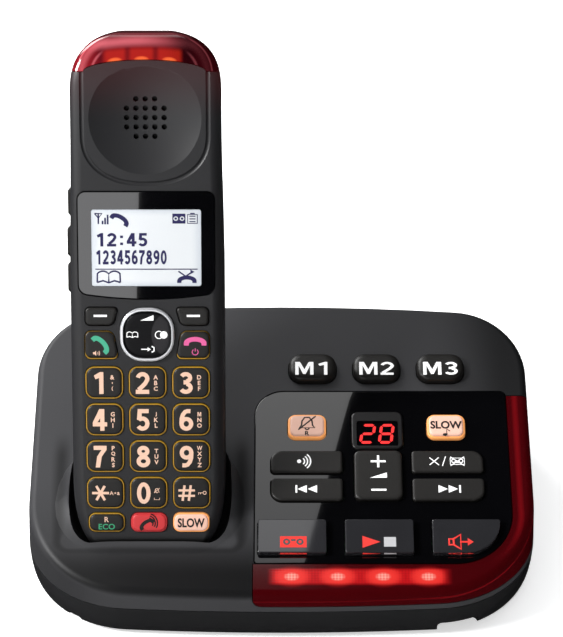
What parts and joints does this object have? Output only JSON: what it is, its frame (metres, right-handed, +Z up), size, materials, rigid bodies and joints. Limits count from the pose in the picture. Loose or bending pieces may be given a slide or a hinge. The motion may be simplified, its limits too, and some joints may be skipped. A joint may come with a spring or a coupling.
{
  "type": "cordless telephone with answering base",
  "caption": "Large-key cordless handset standing in the sloping pocket of an answering base with a red light bar, memory keys and a gloss control panel.",
  "frame": {"origin": "middle of the footprint, on the surface that the base stands on", "axes": "+Z up, the front of the base faces -Y, +X to the right seen from the front"},
  "size_m": [0.1748, 0.1188, 0.1727],
  "materials": {
    "housing": "fine matte charcoal moulding",
    "gloss_panel": "polished piano black",
    "gloss_key": "polished clear cap over black",
    "red_lens": "deep red translucent",
    "black_key": "satin black with pale legends",
    "peach_key": "satin peach",
    "red_key": "satin bright red",
    "chrome_ring": "polished plating",
    "display": "pale liquid crystal or red digits on black",
    "circuit_board": "green solder mask",
    "silicone": "moulded keypad mat",
    "contact_metal": "nickel-plated spring contacts",
    "cell_sleeve": "printed sleeve",
    "speaker_steel": "pressed steel",
    "socket_plastic": "matte black moulding"
  },
  "bodies": {
    "base": {"upper_housing": "housing", "lower_housing": "housing", "light_lens": "red_lens", "main_board": "circuit_board", "control_panel": "gloss_panel", "message_display": "display", "line_jack": "socket_plastic", "power_jack": "socket_plastic", "charge_pin_left": "contact_metal", "charge_pin_right": "contact_metal", "speaker": "speaker_steel"},
    "handset": {"handset_front_shell": "housing", "handset_rear_shell": "housing", "alert_lens": "red_lens", "display_window": "gloss_panel", "lcd_module": "display", "nav_ring": "chrome_ring", "battery_left": "cell_sleeve", "battery_right": "cell_sleeve", "handset_contact_left": "contact_metal", "handset_contact_right": "contact_metal", "receiver": "speaker_steel", "keypad_mat": "silicone", "handset_board": "circuit_board"},
    "battery_cover": {"battery_cover": "housing"},
    "soft_key_left": {"soft_key_left": "black_key"},
    "soft_key_right": {"soft_key_right": "black_key"},
    "talk_key": {"talk_key": "black_key"},
    "off_key": {"off_key": "black_key"},
    "nav_key": {"nav_key": "black_key"},
    "key_star": {"key_star": "black_key"},
    "key_0": {"key_0": "black_key"},
    "key_hash": {"key_hash": "black_key"},
    "key_1": {"key_1": "black_key"},
    "key_2": {"key_2": "black_key"},
    "key_3": {"key_3": "black_key"},
    "key_4": {"key_4": "black_key"},
    "key_5": {"key_5": "black_key"},
    "key_6": {"key_6": "black_key"},
    "key_7": {"key_7": "black_key"},
    "key_8": {"key_8": "black_key"},
    "key_9": {"key_9": "black_key"},
    "eco_key": {"eco_key": "black_key"},
    "boost_key": {"boost_key": "red_key"},
    "slow_key": {"slow_key": "peach_key"},
    "side_key": {"side_key": "black_key"},
    "side_volume_rocker": {"side_volume_rocker": "black_key"},
    "memory_key_1": {"memory_key_1": "black_key"},
    "memory_key_2": {"memory_key_2": "black_key"},
    "memory_key_3": {"memory_key_3": "black_key"},
    "ringer_key": {"ringer_key": "peach_key"},
    "slow_play_key": {"slow_play_key": "peach_key"},
    "locator_key": {"locator_key": "black_key"},
    "previous_key": {"previous_key": "black_key"},
    "erase_key": {"erase_key": "black_key"},
    "next_key": {"next_key": "black_key"},
    "answer_key": {"answer_key": "gloss_key"},
    "play_stop_key": {"play_stop_key": "gloss_key"},
    "speaker_key": {"speaker_key": "gloss_key"},
    "volume_rocker": {"volume_rocker": "black_key"}
  },
  "joints": [
    {"name": "handset_lift", "type": "slide", "parent": "base", "child": "handset", "axis": [0, 0.4848, 0.8746], "range_m": [0, 0.12]},
    {"name": "battery_cover_release", "type": "slide", "parent": "handset", "child": "battery_cover", "axis": [0, 0.8746, -0.4848], "range_m": [0, 0.008]},
    {"name": "soft_key_left_press", "type": "slide", "parent": "handset", "child": "soft_key_left", "axis": [0, 0.8746, -0.4848], "range_m": [0, 0.0005], "stiffness_N_per_m": 1000, "springref_m": -0.001},
    {"name": "soft_key_right_press", "type": "slide", "parent": "handset", "child": "soft_key_right", "axis": [0, 0.8746, -0.4848], "range_m": [0, 0.0005], "stiffness_N_per_m": 1000, "springref_m": -0.001},
    {"name": "talk_key_press", "type": "slide", "parent": "handset", "child": "talk_key", "axis": [0, 0.8746, -0.4848], "range_m": [0, 0.0005], "stiffness_N_per_m": 1000, "springref_m": -0.001},
    {"name": "off_key_press", "type": "slide", "parent": "handset", "child": "off_key", "axis": [0, 0.8746, -0.4848], "range_m": [0, 0.0005], "stiffness_N_per_m": 1000, "springref_m": -0.001},
    {"name": "nav_key_press", "type": "slide", "parent": "handset", "child": "nav_key", "axis": [0, 0.8746, -0.4848], "range_m": [0, 0.0005], "stiffness_N_per_m": 1000, "springref_m": -0.001},
    {"name": "key_star_press", "type": "slide", "parent": "handset", "child": "key_star", "axis": [0, 0.8746, -0.4848], "range_m": [0, 0.0005], "stiffness_N_per_m": 1000, "springref_m": -0.001},
    {"name": "key_0_press", "type": "slide", "parent": "handset", "child": "key_0", "axis": [0, 0.8746, -0.4848], "range_m": [0, 0.0005], "stiffness_N_per_m": 1000, "springref_m": -0.001},
    {"name": "key_hash_press", "type": "slide", "parent": "handset", "child": "key_hash", "axis": [0, 0.8746, -0.4848], "range_m": [0, 0.0005], "stiffness_N_per_m": 1000, "springref_m": -0.001},
    {"name": "key_1_press", "type": "slide", "parent": "handset", "child": "key_1", "axis": [0, 0.8746, -0.4848], "range_m": [0, 0.0005], "stiffness_N_per_m": 1000, "springref_m": -0.001},
    {"name": "key_2_press", "type": "slide", "parent": "handset", "child": "key_2", "axis": [0, 0.8746, -0.4848], "range_m": [0, 0.0005], "stiffness_N_per_m": 1000, "springref_m": -0.001},
    {"name": "key_3_press", "type": "slide", "parent": "handset", "child": "key_3", "axis": [0, 0.8746, -0.4848], "range_m": [0, 0.0005], "stiffness_N_per_m": 1000, "springref_m": -0.001},
    {"name": "key_4_press", "type": "slide", "parent": "handset", "child": "key_4", "axis": [0, 0.8746, -0.4848], "range_m": [0, 0.0005], "stiffness_N_per_m": 1000, "springref_m": -0.001},
    {"name": "key_5_press", "type": "slide", "parent": "handset", "child": "key_5", "axis": [0, 0.8746, -0.4848], "range_m": [0, 0.0005], "stiffness_N_per_m": 1000, "springref_m": -0.001},
    {"name": "key_6_press", "type": "slide", "parent": "handset", "child": "key_6", "axis": [0, 0.8746, -0.4848], "range_m": [0, 0.0005], "stiffness_N_per_m": 1000, "springref_m": -0.001},
    {"name": "key_7_press", "type": "slide", "parent": "handset", "child": "key_7", "axis": [0, 0.8746, -0.4848], "range_m": [0, 0.0005], "stiffness_N_per_m": 1000, "springref_m": -0.001},
    {"name": "key_8_press", "type": "slide", "parent": "handset", "child": "key_8", "axis": [0, 0.8746, -0.4848], "range_m": [0, 0.0005], "stiffness_N_per_m": 1000, "springref_m": -0.001},
    {"name": "key_9_press", "type": "slide", "parent": "handset", "child": "key_9", "axis": [0, 0.8746, -0.4848], "range_m": [0, 0.0005], "stiffness_N_per_m": 1000, "springref_m": -0.001},
    {"name": "eco_key_press", "type": "slide", "parent": "handset", "child": "eco_key", "axis": [0, 0.8746, -0.4848], "range_m": [0, 0.0005], "stiffness_N_per_m": 1000, "springref_m": -0.001},
    {"name": "boost_key_press", "type": "slide", "parent": "handset", "child": "boost_key", "axis": [0, 0.8746, -0.4848], "range_m": [0, 0.0005], "stiffness_N_per_m": 1000, "springref_m": -0.001},
    {"name": "slow_key_press", "type": "slide", "parent": "handset", "child": "slow_key", "axis": [0, 0.8746, -0.4848], "range_m": [0, 0.0005], "stiffness_N_per_m": 1000, "springref_m": -0.001},
    {"name": "side_key_press", "type": "slide", "parent": "handset", "child": "side_key", "axis": [1, 0, 0], "range_m": [0, 0.0005], "stiffness_N_per_m": 1000, "springref_m": -0.001},
    {"name": "side_volume_rocker_tilt", "type": "hinge", "parent": "handset", "child": "side_volume_rocker", "pos_m": [-0.0694, 0.01765, 0.10362], "axis": [0, -0.8746, 0.4848], "range_deg": [-1.5, 1.5], "stiffness_Nm_per_rad": 4},
    {"name": "memory_key_1_press", "type": "slide", "parent": "base", "child": "memory_key_1", "axis": [0, 0.2656, -0.9641], "range_m": [0, 0.0008], "stiffness_N_per_m": 1000, "springref_m": -0.001},
    {"name": "memory_key_2_press", "type": "slide", "parent": "base", "child": "memory_key_2", "axis": [0, 0.2656, -0.9641], "range_m": [0, 0.0008], "stiffness_N_per_m": 1000, "springref_m": -0.001},
    {"name": "memory_key_3_press", "type": "slide", "parent": "base", "child": "memory_key_3", "axis": [0, 0.2656, -0.9641], "range_m": [0, 0.0008], "stiffness_N_per_m": 1000, "springref_m": -0.001},
    {"name": "ringer_key_press", "type": "slide", "parent": "base", "child": "ringer_key", "axis": [0, 0.2656, -0.9641], "range_m": [0, 0.0008], "stiffness_N_per_m": 1000, "springref_m": -0.001},
    {"name": "slow_play_key_press", "type": "slide", "parent": "base", "child": "slow_play_key", "axis": [0, 0.2656, -0.9641], "range_m": [0, 0.0008], "stiffness_N_per_m": 1000, "springref_m": -0.001},
    {"name": "locator_key_press", "type": "slide", "parent": "base", "child": "locator_key", "axis": [0, 0.2656, -0.9641], "range_m": [0, 0.0008], "stiffness_N_per_m": 1000, "springref_m": -0.001},
    {"name": "previous_key_press", "type": "slide", "parent": "base", "child": "previous_key", "axis": [0, 0.2656, -0.9641], "range_m": [0, 0.0008], "stiffness_N_per_m": 1000, "springref_m": -0.001},
    {"name": "erase_key_press", "type": "slide", "parent": "base", "child": "erase_key", "axis": [0, 0.2656, -0.9641], "range_m": [0, 0.0008], "stiffness_N_per_m": 1000, "springref_m": -0.001},
    {"name": "next_key_press", "type": "slide", "parent": "base", "child": "next_key", "axis": [0, 0.2656, -0.9641], "range_m": [0, 0.0008], "stiffness_N_per_m": 1000, "springref_m": -0.001},
    {"name": "answer_key_press", "type": "slide", "parent": "base", "child": "answer_key", "axis": [0, 0.2656, -0.9641], "range_m": [0, 0.0008], "stiffness_N_per_m": 1000, "springref_m": -0.001},
    {"name": "play_stop_key_press", "type": "slide", "parent": "base", "child": "play_stop_key", "axis": [0, 0.2656, -0.9641], "range_m": [0, 0.0008], "stiffness_N_per_m": 1000, "springref_m": -0.001},
    {"name": "speaker_key_press", "type": "slide", "parent": "base", "child": "speaker_key", "axis": [0, 0.2656, -0.9641], "range_m": [0, 0.0008], "stiffness_N_per_m": 1000, "springref_m": -0.001},
    {"name": "volume_rocker_tilt", "type": "hinge", "parent": "base", "child": "volume_rocker", "pos_m": [0.0334, -0.01357, 0.03249], "axis": [1, 0, 0], "range_deg": [-2, 2], "stiffness_Nm_per_rad": 4}
  ]
}
